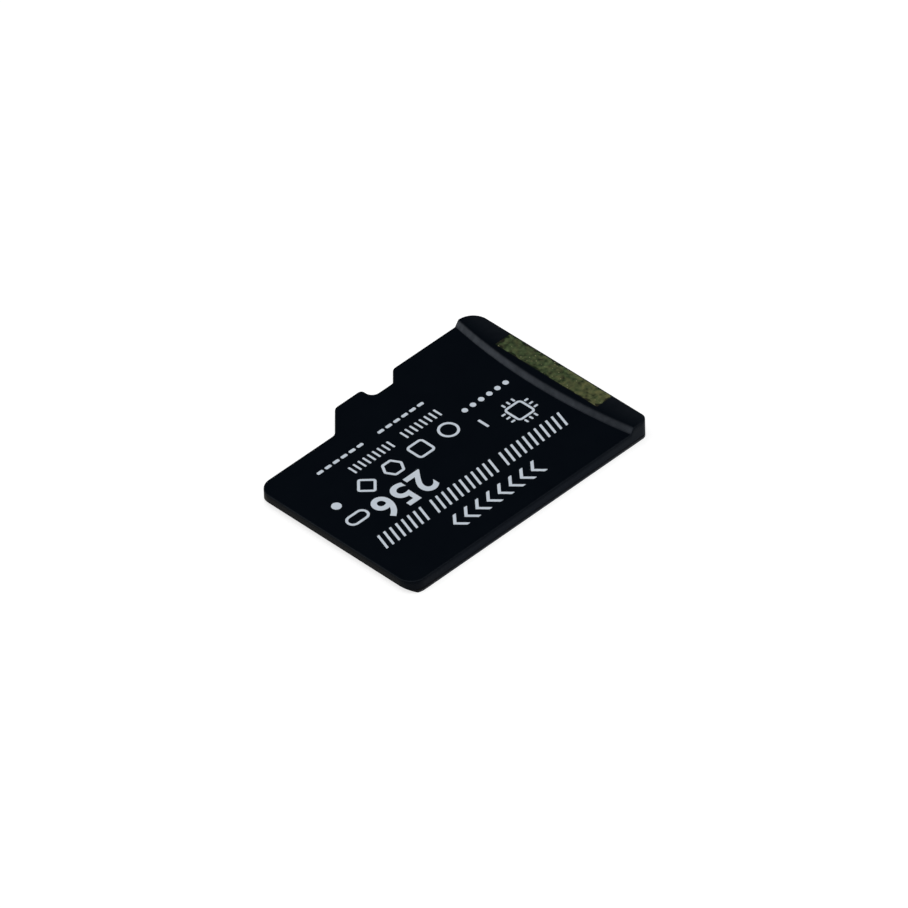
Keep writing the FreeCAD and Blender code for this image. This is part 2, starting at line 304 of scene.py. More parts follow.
# Grain: two sizes of noise in object space, as a height and as a patchy tint from 0 to 1, the finer
# one drawn out along the insertion direction as streaks, and a speck in the middle of about one
# cell in six
def makeGrainGroup():
    group, given, result = newGroup(
        "surfaceGrain", [("Grains per mm", 20.0), ("Patches per mm", 0.6)],
        ["Height", "Patch", "Streak", "Speck"])
    grains, patches = given.outputs["Grains per mm"], given.outputs["Patches per mm"]
    link = group.links.new
    place = addNode(group, "TexCoord").outputs["Object"]
    for rate, outName, detail in ((grains, "Height", grainShape["heightDetail"]),
                                  (patches, "Patch", grainShape["patchDetail"])):
        noise = addNoise(group, place, rate)
        noise.inputs["Detail"].default_value = detail
        link(noise.outputs["Fac"], result.inputs[outName])
    stretch = addNode(group, "Mapping")
    stretch.inputs["Scale"].default_value = grainShape["streakScale"]
    link(place, stretch.inputs["Vector"])
    streaks = addNoise(group, stretch.outputs["Vector"], grains)
    link(streaks.outputs["Fac"], result.inputs["Streak"])
    cells = addNode(group, "TexVoronoi")
    link(place, cells.inputs["Vector"])
    link(mathNode(group, "DIVIDE", grains, mm), cells.inputs["Scale"])
    near = mathNode(group, "SUBTRACT", grainShape["speckReach"], cells.outputs["Distance"])
    dot = mathNode(group, "MULTIPLY", near, grainShape["speckEdge"], clamp=True)
    lot = addNode(group, "SeparateColor")
    link(cells.outputs["Color"], lot.inputs["Color"])
    chosen = mathNode(group, "GREATER_THAN", lot.outputs["Red"], grainShape["speckAbove"])
    link(mathNode(group, "MULTIPLY", dot, chosen), result.inputs["Speck"])
    return group


# Paling and sheen: the piece's own rim attribute, broken up by noise, for edges rubbed paler and
# smoother, for painted sheen and highlight on the moulding, and for the laser field's paler grains
def makeWearGroup():
    group, given, result = newGroup(
        "paleEdgeAndSheen",
        [("Breaks per mm", 3.0), ("Break depth", 0.5), ("Amount", 0.5), ("Polish", 0.0)],
        ["Wear", "Smoothing"])
    link = group.links.new
    rim = addNode(group, "Attribute", attribute_name="rim").outputs["Fac"]
    place = addNode(group, "TexCoord").outputs["Object"]
    noise = addNoise(group, place, given.outputs["Breaks per mm"])
    swing = mathNode(group, "SUBTRACT", noise.outputs["Fac"], noiseMiddle)
    deeper = mathNode(group, "MULTIPLY", swing, given.outputs["Break depth"])
    broken = mathNode(group, "MULTIPLY", rim, mathNode(group, "ADD", deeper, noiseMiddle))
    paleAndSheen = mathNode(group, "MULTIPLY", broken, given.outputs["Amount"], clamp=True)
    link(paleAndSheen, result.inputs["Wear"])
    link(mathNode(group, "MULTIPLY", rim, given.outputs["Polish"]), result.inputs["Smoothing"])
    return group


grainGroup = makeGrainGroup()
paleEdgeAndSheenGroup = makeWearGroup()


# A finish: a colour that drifts between two shades by the patch noise, then marks over it: a third,
# paler shade where the rim attribute says (rubbed edges, the moulding's painted sheen and
# highlight, the laser field's pale grains), which may turn to a fourth from the keyed side to the
# plain side, and specks. The roughness drifts with the patches, and the grain makes a bump.
def newFinish(name, look):
    material = bpy.data.materials.new(name)
    material.use_nodes = True
    tree = material.node_tree
    link = tree.links.new
    shader = tree.nodes["Principled BSDF"]
    grain = addNode(tree, "Group", node_tree=grainGroup)
    setInputs(grain, {"Grains per mm": look["grains"], "Patches per mm": look["patches"]})
    patch = grain.outputs["Patch"]
    centred = mathNode(tree, "SUBTRACT", patch, noiseMiddle)
    stretched = mathNode(tree, "MULTIPLY", centred, look.get("contrast", 1.0))
    drifting = mathNode(tree, "ADD", stretched, noiseMiddle, clamp=True)
    colour = mixColours(tree, drifting, (*look["shadeA"], 1.0), (*look["shadeB"], 1.0))
    drift = mathNode(tree, "MULTIPLY", patch, look.get("roughDrift", 0.1))
    rough = mathNode(tree, "ADD", drift, look["rough"])
    marks = []
    if "paleAndSheen" in look:
        paleNode = addNode(tree, "Group", node_tree=paleEdgeAndSheenGroup)
        setInputs(paleNode, {
            "Breaks per mm": look.get("breaks", 3.0), "Break depth": look.get("breakDepth", 0.5),
            "Amount": look["paleAndSheen"], "Polish": look["polish"]})
        paleAndSheen = paleNode.outputs["Wear"]
        marks.append((paleAndSheen, look["paleAndSheenShade"]))
        rough = mathNode(tree, "SUBTRACT", rough, paleNode.outputs["Smoothing"])
        if "driftShade" in look:
            share = spanShare(tree, objectAxes(tree)["Y"], look["driftSpan"])
            blotch = mathNode(tree, "MULTIPLY", stretched, look["driftBlotch"])
            turned = mathNode(tree, "ADD", share, blotch, clamp=True)
            marks.append((mathNode(tree, "MULTIPLY", paleAndSheen, turned), look["driftShade"]))
    if "wiped" in look:
        swept = mathNode(tree, "SUBTRACT", grain.outputs["Streak"], noiseMiddle)
        wiped = mathNode(tree, "MULTIPLY", swept, look["wiped"])
        rough = mathNode(tree, "ADD", rough, wiped)
    if "speck" in look:
        specks = mathNode(tree, "MULTIPLY", grain.outputs["Speck"], look["speck"])
        marks.append((specks, look["speckShade"]))
    for mask, markShade in marks:
        colour = mixColours(tree, mask, colour, (*markShade, 1.0))
    link(colour, shader.inputs["Base Color"])
    link(rough, shader.inputs["Roughness"])
    bump = addNode(tree, "Bump")
    setInputs(bump, {"Strength": look.get("bump", 0.2), "Distance": look.get("relief", 0.002) * mm})
    link(grain.outputs["Height"], bump.inputs["Height"])
    link(bump.outputs["Normal"], shader.inputs["Normal"])
    setInputs(shader, {
        "Metallic": look.get("metal", 0.0), "Specular IOR Level": look.get("specular", 0.5),
        "IOR": look.get("index", 1.5), "Specular Tint": (*look.get("glint", white[:3]), 1.0)})
    return material


finishes = {
    # the moulding's pale shade is painted sheen on the ramp and lip, and on the rims partly wear
    # and partly painted highlight
    "mouldCompound": {
        "shadeA": (0.001, 0.0021, 0.0042), "shadeB": (0.0018, 0.0032, 0.0056), "grains": 26.0,
        "patches": 0.9, "rough": 0.48, "roughDrift": 0.06, "bump": 0.5, "relief": 0.004,
        "index": 1.092, "glint": (0.7, 0.87, 1.0), "paleAndSheen": 0.5, "paleAndSheenShade": (0.14, 0.155, 0.18),
        "polish": 0.2, "speck": 0.25, "speckShade": (0.004, 0.006, 0.009)},
    "boardMask": {
        "shadeA": (0.0035, 0.004, 0.0045), "shadeB": (0.006, 0.0065, 0.007), "grains": 9.0,
        "patches": 0.7, "rough": 0.36, "roughDrift": 0.12, "bump": 0.35, "relief": 0.004,
        "index": 1.18},
    "goldPlating": {
        "shadeA": (0.78, 0.5, 0.15), "shadeB": (0.88, 0.62, 0.24), "grains": 16.0,
        "patches": 1.4, "rough": 0.24, "roughDrift": 0.12, "bump": 0.3, "relief": 0.003,
        "metal": 1.0, "wiped": 0.5},
    "printInk": {
        "shadeA": (0.57, 0.64, 0.72), "shadeB": (0.67, 0.73, 0.8), "grains": 30.0,
        "patches": 2.5, "rough": 0.5, "roughDrift": 0.15, "bump": 0.4, "relief": 0.004,
        "specular": 0.3},
    "laserMark": {
        "shadeA": (0.002, 0.011, 0.001), "shadeB": (0.014, 0.013, 0.006), "grains": 8.0,
        "patches": 3.0, "contrast": 5.0, "rough": 0.6, "roughDrift": 0.2, "bump": 0.6,
        "relief": 0.01, "specular": 0.15, "paleAndSheen": 1.0, "breaks": 4.0, "breakDepth": 2.1,
        "paleAndSheenShade": (0.082, 0.116, 0.047), "driftShade": (0.122, 0.12, 0.046),
        "driftSpan": (-0.8, 3.4), "driftBlotch": 0.5, "polish": 0.0, "speck": 0.8,
        "speckShade": (0.3, 0.28, 0.15)},
    "silicon": {
        "shadeA": (0.1, 0.11, 0.14), "shadeB": (0.16, 0.17, 0.21), "grains": 14.0,
        "patches": 1.2, "rough": 0.18, "metal": 0.6},
    "dieFilm": {
        "shadeA": (0.35, 0.22, 0.08), "shadeB": (0.45, 0.3, 0.12), "grains": 12.0,
        "patches": 1.0, "rough": 0.5},
    "bondWire": {
        "shadeA": (0.8, 0.55, 0.2), "shadeB": (0.9, 0.66, 0.28), "grains": 40.0,
        "patches": 4.0, "rough": 0.2, "metal": 1.0},
    "capacitorCeramic": {
        "shadeA": (0.24, 0.15, 0.08), "shadeB": (0.32, 0.21, 0.12), "grains": 22.0,
        "patches": 3.0, "rough": 0.45, "bump": 0.3, "relief": 0.003}}
materials = {name: newFinish(name, look) for name, look in finishes.items()}
print("finishes made:", len(materials))

# The pieces inside keep their CAD shapes and take these finishes
insidePieces = {
    "silicon": ["flash_die_lower", "flash_die_upper", "controller_die"],
    "dieFilm": ["film_flash_lower", "film_flash_upper", "film_controller"],
    "capacitorCeramic": ["capacitor_%d" % count for count in range(1, 5)],
    "bondWire": ["bond_wires_flash_lower", "bond_wires_flash_upper",
                 "bond_wires_controller_front", "bond_wires_controller_back"]}
for finish, nodes in insidePieces.items():
    for node in nodes:
        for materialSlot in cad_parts[node].material_slots:
            materialSlot.material = materials[finish]


# The keyed outline that the moulding and the board share

caseLow, caseHigh = (np.array(corner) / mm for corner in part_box("moulded_case"))
boardTop, lipTop = caseLow[2], caseHigh[2]
frontEnd, backEnd = caseHigh[0], caseLow[0]
plainSide, keyedSide = caseHigh[1], caseLow[1]

outline = {
    "shoulderFromFront": 6.23, "shoulderStep": 1.3, "notchFromFront": 7.9, "notchFloor": 1.3,
    "notchDepth": 0.7, "frontRadius": 0.8, "keyedBackRadius": 0.9, "plainBackRadius": 0.4,
    "shoulderRadius": 0.4, "notchRootRadius": 0.4, "notchMouthRadius": 0.2,
    "bevelHeight": 0.27, "bevelLength": 0.45, "arcStops": 25}


# Outline corners: the card's rectangle with the notch and the shoulder stepped in from the keyed
# side, each placed by its distance from the front end, and the radius that rounds each corner
def cardCorners(shape):
    notchFront = frontEnd - shape["notchFromFront"]
    notchBack = notchFront - shape["notchFloor"]
    notchLine = keyedSide + shape["notchDepth"]
    shoulder = frontEnd - shape["shoulderFromFront"]
    frontSide = keyedSide + shape["shoulderStep"]
    places = [
        (backEnd, keyedSide, "keyedBackRadius"),
        (notchBack - shape["notchDepth"], keyedSide, "shoulderRadius"),
        (notchBack, notchLine, "notchMouthRadius"),
        (notchFront, notchLine, "notchRootRadius"),
        (notchFront, keyedSide, "notchMouthRadius"),
        (shoulder, keyedSide, "shoulderRadius"),
        (shoulder + shape["shoulderStep"], frontSide, "shoulderRadius"),
        (frontEnd, frontSide, "frontRadius"),
        (frontEnd, plainSide, "frontRadius"),
        (backEnd, plainSide, "plainBackRadius")]
    corners = np.array([(x, y) for x, y, _ in places])
    return corners, np.array([shape[radius] for _, _, radius in places])


# Bevel height: the sloping underside of the insertion end rises in a straight line to the front
def bevelAt(x):
    slope = outline["bevelHeight"] / outline["bevelLength"]
    return np.maximum(0.0, (x - frontEnd + outline["bevelLength"]) * slope)


# Card path: the rounded outline, with stops at both front corners where the bevel crosses
# the underside and the top of the board
def cardPath():
    corners, radii = cardCorners(outline)
    stops = evenStops(corners, outline["arcStops"])
    bevelStart = frontEnd - outline["bevelLength"]
    boardEnd = bevelStart + outline["bevelLength"] * boardTop / outline["bevelHeight"]
    keyedFront, plainFront = 7, 8  # the front corners' places in the outline
    for level in (bevelStart, boardEnd):
        lean = (level - frontEnd + outline["frontRadius"]) / outline["frontRadius"]
        for corner, turn in ((keyedFront, math.asin(lean)), (plainFront, math.acos(lean))):
            fraction = turn / quarterTurn
            stops[corner, np.abs(stops[corner] - fraction).argmin()] = fraction
    points, normals = roundedPath(corners, radii, stops)
    return points, normals, bevelStart, boardEnd


pathPoints, pathNormals, bevelStart, boardEnd = cardPath()
print("card outline:", pathPoints.shape[0], "corners")


# Moulded case: finger lip, curved ramp, label face and rounded rim

# The rim, lip and ramp amounts below set how much paler those parts are painted: on the ramp and
# the lip's top a painted sheen, on the rim partly wear and partly a painted highlight.
case = {
    "labelHeight": 0.7, "lipDepth": 1.64, "lipArcRadius": 30.0, "lipRamp": 0.22,
    "rimRadius": 0.05, "rimSteps": 5, "rimSetback": 1.4, "rimWearAndSheen": 0.25, "lipSheen": 0.16,
    "footRadius": 0.02, "crestRadius": 0.025, "bendSteps": 6, "slopeSteps": 6, "rampColumns": 48,
    "rampSheen": (1.35, 0.78), "rampSheenRise": (0.0, 0.06, 0.72, 1.0), "markFromBack": 0.06,
    "markWidth": 0.97, "markLength": 6.36, "markOffset": 0.11, "markDepth": 0.01}


# Ramp profile: distance from the lip's far axis and height, from the label face round a hollow
# foot, up the straight slope in even steps and over a rounded crest to the lip's top
def rampProfile():
    rise = lipTop - case["labelHeight"]
    slope = math.atan2(rise, case["lipRamp"])
    turn = np.linspace(0.0, slope, case["bendSteps"])
    foot, crest = case["footRadius"], case["crestRadius"]
    footReach, crestReach = foot * math.tan(slope / 2), crest * math.tan(slope / 2)
    footX = footReach - foot * np.sin(turn)
    footZ = foot * (1 - np.cos(turn))
    crestX = -case["lipRamp"] - crestReach + crest * np.sin(turn[::-1])
    crestZ = rise - crest * (1 - np.cos(turn[::-1]))
    slopeX = np.linspace(footX[-1], crestX[0], case["slopeSteps"])[1:-1]
    slopeZ = np.linspace(footZ[-1], crestZ[0], case["slopeSteps"])[1:-1]
    distance = case["lipArcRadius"] + np.r_[footX, slopeX, crestX]
    return distance, case["labelHeight"] + np.r_[footZ, slopeZ, crestZ]


# Case: the outline carried straight up as a wall and round a quarter circle as a rim. The ramp is
# the profile swung round the lip's axis: a point at distance d and swing s is at (axis + d cos s,
# d sin s). Its painted sheen starts above the foot, ends at the crest and falls from keyed to plain
# side.
def buildCase():
    distance, height = rampProfile()
    axisX = backEnd + case["lipDepth"] - case["lipArcRadius"]
    insetSide = plainSide - case["rimRadius"]
    rampX = axisX + np.sqrt(distance ** 2 - insetSide ** 2)
    count = len(rampX)
    keyedRamp = np.column_stack([rampX[::-1], np.full(count, keyedSide)])
    plainRamp = np.column_stack([rampX, np.full(count, plainSide)])
    sideways = np.tile([[0.0, 1.0]], (count, 1))
    firstCorner, lastCorner = pathPoints[0][:-1], pathPoints[-1]  # both at the back end
    middle = pathPoints[1:-1].reshape(-1, 2)
    points = np.concatenate([firstCorner, keyedRamp, middle, plainRamp, lastCorner])
    normals = np.concatenate([pathNormals[0][:-1], -sideways, pathNormals[1:-1].reshape(-1, 2),
                              sideways, pathNormals[-1]])
    top = np.concatenate([
        np.full(len(firstCorner), lipTop), height[::-1], np.full(len(middle), case["labelHeight"]),
        height, np.full(len(lastCorner), lipTop)])
    bottom = np.maximum(boardTop, bevelAt(points[:, 0]))
    length = len(points)

    # wall and rounded rim
    radius = case["rimRadius"]
    angles = np.linspace(0.0, quarterTurn, case["rimSteps"] + 1)
    rings = [atHeight(points, bottom), atHeight(points, top - case["rimSetback"] * radius)]
    for angle in angles:
        moved = points - normals * radius * (1 - math.cos(angle))
        rings.append(atHeight(moved, top + radius * (math.sin(angle) - 1)))
    wall = np.concatenate(rings)
    # the rim is painted paler halfway round it: partly edge wear, partly painted highlight
    edge = np.repeat(np.r_[0.0, 0.0, case["rimWearAndSheen"] * np.sin(2 * angles)], length)
    blocks = [(wall, ringFaces(len(rings), length), True, edge)]

    # ramp: arcs round the lip's axis from the keyed side to the plain side
    spread = np.arcsin(insetSide / distance)
    swing = spread[:, None] * np.linspace(-1.0, 1.0, case["rampColumns"])
    rampPoints = np.stack([
        axisX + distance[:, None] * np.cos(swing), distance[:, None] * np.sin(swing),
        np.broadcast_to(height[:, None], swing.shape)], -1)
    # painted sheen on the ramp: none at the foot and crest, full between them, falling from the
    # keyed to the plain side
    risen = (height - case["labelHeight"]) / (lipTop - case["labelHeight"])
    sheenRise = np.interp(risen, case["rampSheenRise"], (0.0, 1.0, 1.0, 0.0))
    paintedSheen = np.outer(sheenRise, np.linspace(*case["rampSheen"], case["rampColumns"]))
    rampFaces = gridFaces(count, case["rampColumns"])
    blocks.append((rampPoints.reshape(-1, 3), rampFaces, True, paintedSheen.ravel()))

    # label face in front of the ramp, lip top behind it with the sunk marked field
    inner = wall[-length:]
    footStart = len(firstCorner) + count - 1
    footEnd = footStart + 1 + len(middle)
    labelLoop = np.concatenate([inner[footStart:footEnd + 1], rampPoints[0][-2:0:-1]])
    blocks.append((labelLoop, [np.arange(len(labelLoop))], False, 0.0))
    crestStart = footEnd + count - 1
    crestEnd = len(firstCorner)
    lipLoop = np.concatenate([inner[crestStart:], inner[:crestEnd + 1], rampPoints[-1][1:-1]])
    fieldX, fieldY = backEnd + case["markFromBack"], case["markOffset"] - case["markLength"] / 2
    field = np.array(boxCorners(fieldX, fieldX + case["markWidth"],
                                fieldY, case["markOffset"] + case["markLength"] / 2))
    lipPoints, lipFaces = fillFaces([lipLoop[:, :2], field], lipTop)
    # the lip's top is painted paler from the crest to the back edge, a painted sheen
    behindCrest = np.clip((rampX[-1] - lipPoints[:, 0]) / (rampX[-1] - backEnd), 0.0, 1.0)
    blocks.append((lipPoints, lipFaces, False, case["lipSheen"] * behindCrest))
    sunk = np.concatenate([atHeight(field, lipTop - case["markDepth"]), atHeight(field, lipTop)])
    blocks.append((sunk, ringFaces(2, len(field), flip=True), False, 0.0))
    blocks.append((sunk, [np.arange(len(field))], False, 0.0))

    # underside on the board and the bevel that goes on from the board's own
    base = wall[:length]
    beyond = points[:, 0] > boardEnd + samePlace
    crossing = np.abs(points[:, 0] - boardEnd) < samePlace
    blocks.append((base[~beyond], [np.arange((~beyond).sum())[::-1]], False, 0.0))
    slopeLoop = base[beyond | crossing]
    blocks.append((slopeLoop, [np.arange(len(slopeLoop))[::-1]], False, 0.0))
    piece = newPiece("moulded_case_skin", blocks, materials["mouldCompound"])
    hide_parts("moulded_case")
    return piece


caseSkin = buildCase()
print("moulded case:", len(caseSkin.data.polygons), "faces")


# Contact fingers and the board that carries them

contact = {
    "rimRadius": 0.008, "rimSteps": 4, "maskGap": 0.05, "cornerRadius": 0.2, "cornerStops": 13}
contactNodes = ["contact_%d" % number for number in range(1, 9)]


# Contact outline: the CAD finger's box, wider by the gap all round, with rounded corners, and the
# heights of its face and back
def contactLoop(node, gap=0.0):
    low, high = (np.array(corner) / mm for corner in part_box(node))
    corners = boxCorners(low[0] - gap, high[0] + gap, low[1] - gap, high[1] + gap)
    loop = loopOf(corners, contact["cornerRadius"] + gap, contact["cornerStops"])
    return *loop, low[2], high[2]


# Contact finger: its outline as a plate that faces down, with a fine rim
def buildContact(node):
    points, normals, face, back = contactLoop(node)
    blocks = plateBlocks(points, normals, back, face, contact["rimRadius"], contact["rimSteps"])
    piece = newPiece(node + "_plated", blocks, materials["goldPlating"])
    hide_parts(node)
    return piece


# Board: the outline up to where the bevel meets its top, carried from the bevel's height to that
# top, with a pocket round each contact
def buildBoard():
    points = pathPoints.reshape(-1, 2)
    points = points[points[:, 0] < boardEnd + samePlace]
    bottom = np.minimum(bevelAt(points[:, 0]), boardTop)
    length = len(points)
    wall = np.concatenate([atHeight(points, bottom), atHeight(points, boardTop)])
    blocks = [(wall, ringFaces(2, length), True, 0.0)]
    blocks.append((wall, [length + np.arange(length)], False, 0.0))
    flat = points[:, 0] < bevelStart + samePlace
    slope = np.flatnonzero(points[:, 0] > bevelStart - samePlace)
    blocks.append((wall[slope], [np.arange(len(slope))[::-1]], False, 0.0))
    pockets = []
    for node in contactNodes:
        pocket, _, _, floorHeight = contactLoop(node, contact["maskGap"])  # all level
        pockets.append(pocket)
    blocks.append((*fillFaces([points[flat]] + pockets, 0.0, down=True), False, 0.0))
    for pocket in pockets:
        size = len(pocket)
        sides = np.concatenate([atHeight(pocket, 0.0), atHeight(pocket, floorHeight)])
        blocks.append((sides, ringFaces(2, size, flip=True), True, 0.0))
        blocks.append((sides, [size + np.arange(size)[::-1]], False, 0.0))
    piece = newPiece("substrate_board_skin", blocks, materials["boardMask"])
    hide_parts("substrate_board")
    return piece


boardSkin = buildBoard()
contactSkins = [buildContact(node) for node in contactNodes]
print("board:", len(boardSkin.data.polygons), "faces, with", len(contactSkins), "contacts")


# Laser-marked field: a sheet of fine burnt grains sunk in the lip's top

laserField = {
    "columns": 90, "rows": 420, "grain": 0.0035, "clear": 0.004, "sink": 0.002, "seed": 11,
    "patch": 10, "insetFront": 0.02, "insetBack": 0.01, "insetEnds": 0.09, "corner": 0.2,
    "ragged": 0.06, "fade": 0.07, "pale": 0.9, "paleAcross": 0.12, "mottle": 0.11}


# Field sheet: a grid of smooth random grain over the recess's floor, down to it at the border. Its
# paleness rises a little to the back and with coarse noise, and fades out at a border with rounded
# corners, which that noise moves in and out: the distance inside it is r - hypot(r - gap across,
# r - gap along).
def buildLaserField():
    low = backEnd + case["markFromBack"]
    across = np.linspace(low, low + case["markWidth"], laserField["columns"])
    along = np.linspace(-0.5, 0.5, laserField["rows"]) * case["markLength"] + case["markOffset"]
    gridX, gridY = np.meshgrid(across, along)
    source = np.random.default_rng(laserField["seed"])
    random = source.random(gridX.shape)
    nearby = [(i, j) for i in (-1, 0, 1) for j in (-1, 0, 1)]
    smooth = sum(np.roll(random, shift, (0, 1)) for shift in nearby) / len(nearby)
    patch = laserField["patch"]
    coarse = source.random((laserField["rows"] // patch, laserField["columns"] // patch))
    uneven = np.kron(coarse, np.ones((patch, patch)))
    for axis in (0, 1):
        uneven = sum(np.roll(uneven, shift, axis) for shift in range(patch)) / patch
    border = np.zeros(gridX.shape)
    border[1:-1, 1:-1] = 1.0
    floor = lipTop - case["markDepth"]
    grain = laserField["grain"] * (smooth - noiseMiddle) * 2
    height = floor + border * (laserField["clear"] + grain)
    points = np.stack([gridX, gridY, height], -1)
    around = np.concatenate([
        points[0, :-1], points[:-1, -1], points[-1, :0:-1], points[:0:-1, 0]])
    length = len(around)
    foot = np.concatenate([around - [0.0, 0.0, laserField["sink"]], around])
    acrossShare = (gridX.max() - gridX) / np.ptp(gridX)
    toFront = gridX.max() - gridX - laserField["insetFront"]
    toBack = gridX - gridX.min() - laserField["insetBack"]
    toEnds = np.minimum(gridY - gridY.min(), gridY.max() - gridY) - laserField["insetEnds"]
    corner = laserField["corner"]
    nearest = corner - np.hypot(np.maximum(corner - np.minimum(toFront, toBack), 0.0),
                                np.maximum(corner - toEnds, 0.0))
    wobble = (uneven - uneven.mean()) / uneven.std()
    reach = nearest + laserField["ragged"] * wobble
    inside = np.clip(reach / laserField["fade"] + 0.5, 0.0, 1.0)  # half at the border
    paling = laserField["pale"] + laserField["paleAcross"] * acrossShare
    paling = paling + laserField["mottle"] * wobble
    paling = paling * inside ** 2 * (3 - 2 * inside)  # eased in and out
    blocks = [(points.reshape(-1, 3), gridFaces(*gridX.shape), True, paling.ravel())]
    blocks.append((foot, ringFaces(2, length), False, 0.0))
    blocks.append((foot, [np.arange(length)[::-1]], False, 0.0))
    return newPiece("laser_marked_field", blocks, materials["laserMark"])


laserSheet = buildLaserField()
print("laser field:", len(laserSheet.data.polygons), "faces")


# Print: plain shapes in pale ink on the label face, read along +X; full rounds stop short of half
# their width by roundShort

ink = {
    "thickness": 0.008, "sink": 0.002, "rim": 0.004, "rimSteps": 2, "roundShort": 1e-4,
    "barStops": 3, "rowStops": 5, "lineStops": 9, "discStops": 11, "ringStops": 13}
inkBack = case["labelHeight"] - ink["sink"]
inkFace = case["labelHeight"] + ink["thickness"]


# Ink field: a rounded outline as a thin plate from just under the label to the ink's top
def inkPlate(corners, radius, stops):
    points, normals = loopOf(corners, radius, stops)
    return plateBlocks(points, normals, inkBack, inkFace, ink["rim"], ink["rimSteps"])


# Ink line: a rounded outline as a band of even stroke, as thick as the ink
def inkBand(corners, radius, stroke, stops):
    points, normals = loopOf(corners, radius, stops)
    return bandBlocks(points, normals, stroke, inkBack, inkFace)


# Even polygon: corners at equal angles round its middle, all at the same reach
def regularCorners(x, y, reach, sides):
    angles = np.arange(sides) * 2 * math.pi / sides
    return np.column_stack([x + reach * np.cos(angles), y + reach * np.sin(angles)])


# Print piece: all blocks of one sign or row as one object in the ink's slot
def printPiece(name, blocks):
    piece = newPiece(name, blocks, materials["printInk"])
    return piece


arrowRow = {
    "count": 8, "start": -2.2, "pitch": 0.7, "middle": 3.95, "half": 0.46, "lean": 0.42,
    "stroke": 0.2, "round": 0.02}


# Arrow row: chevrons to the insertion end, each a bar bent forward at its middle by the lean
def buildArrows():
    y, half, stroke = arrowRow["middle"], arrowRow["half"], arrowRow["stroke"]
    blocks = []
    for x in arrowRow["start"] + arrowRow["pitch"] * np.arange(arrowRow["count"]):
        tip, back = x + arrowRow["lean"], x + stroke
        corners = [(x, y - half), (back, y - half), (tip + stroke, y), (back, y + half),
                   (x, y + half), (tip, y)]
        blocks += inkPlate(corners, arrowRow["round"], ink["barStops"])
    return printPiece("print_arrow_row", blocks)


slantBand = {
    "groups": [(-5.29, 11), (-0.92, 11), (3.45, 8)], "low": 2.03, "high": 2.94, "lean": 0.3,
    "bar": 0.13, "pitch": 0.37, "round": 0.02}


# Slanted band: bars in three groups, each leaning forward by the same shift from foot to head
def buildSlants():
    blocks = []
    for start, count in slantBand["groups"]:
        for foot in start + slantBand["pitch"] * np.arange(count):
            head = foot + slantBand["lean"]
            corners = [(foot, slantBand["low"]), (foot + slantBand["bar"], slantBand["low"]),
                       (head + slantBand["bar"], slantBand["high"]), (head, slantBand["high"])]
            blocks += inkPlate(corners, slantBand["round"], ink["barStops"])
    return printPiece("print_slanted_band", blocks)


chipSign = {
    "middle": (-4.2, 0.69), "half": 0.48, "stroke": 0.12, "round": 0.16, "leg": 0.24,
    "legGap": 0.06, "legWidth": 0.11, "legPitch": 0.3, "legRound": 0.04}


# Chip sign: a rounded square line with three short legs on each side, at even shifts
def buildChipSign():
    x, y, half = *chipSign["middle"], chipSign["half"]
    square = squareCorners(x, y, half)
    blocks = inkBand(square, chipSign["round"], chipSign["stroke"], ink["lineStops"])
    start = half + chipSign["stroke"] / 2 + chipSign["legGap"]
    for shift in (-chipSign["legPitch"], 0.0, chipSign["legPitch"]):
        low, high = shift - chipSign["legWidth"] / 2, shift + chipSign["legWidth"] / 2
        for way in (-1, 1):
            near, far = sorted((way * start, way * (start + chipSign["leg"])))
            for leg in (boxCorners(x + near, x + far, y + low, y + high),
                        boxCorners(x + low, x + high, y + near, y + far)):
                blocks += inkPlate(leg, chipSign["legRound"], ink["barStops"])
    return printPiece("print_chip_sign", blocks)


number = {
    "text": "256", "right": 4.96, "low": 0.16, "high": 1.7, "bold": 0.02, "spacing": 1.1,
    "extrude": 0.1, "curveSteps": 6}


# Number: plain figures from the built-in font, thickened, scaled to the height of their place and
# set on the label, the lower points just under the surface and the upper points at the ink's top
def buildNumber():
    curve = bpy.data.curves.new("figures", "FONT")
    curve.body = number["text"]
    curve.offset = number["bold"]
    curve.space_character = number["spacing"]
    curve.extrude = number["extrude"]
    curve.resolution_u = number["curveSteps"]
    figures = addObject("figures", curve)
    bpy.context.view_layer.update()
    mesh = bpy.data.meshes.new_from_object(figures)
    bpy.data.objects.remove(figures)
    raw = np.empty(len(mesh.vertices) * 3)
    mesh.vertices.foreach_get("co", raw)
    raw = raw.reshape(-1, 3)
    mesh.calc_loop_triangles()
    faces = np.empty(len(mesh.loop_triangles) * 3, np.int32)
    mesh.loop_triangles.foreach_get("vertices", faces)
    faces = faces.reshape(-1, 3)
    bpy.data.meshes.remove(mesh)
    scale = (number["high"] - number["low"]) / np.ptp(raw[:, 1])
    corner = [raw[:, 0].max(), raw[:, 1].min()]
    flat = (raw[:, :2] - corner) * scale + [number["right"], number["low"]]
    height = np.where(raw[:, 2] > 0, inkFace, inkBack)
    return printPiece("print_number", [(np.column_stack([flat, height]), faces, False, 0.0)])


signRow = {
    "middle": -0.71, "half": 0.45, "stroke": 0.13, "starts": (-1.55, 0.2, 1.95, 3.6),
    "squareRound": 0.16, "cornerRound": 0.08, "hexagonReach": 1.1, "diamondReach": 1.15,
    "disc": (5.95, 0.24)}


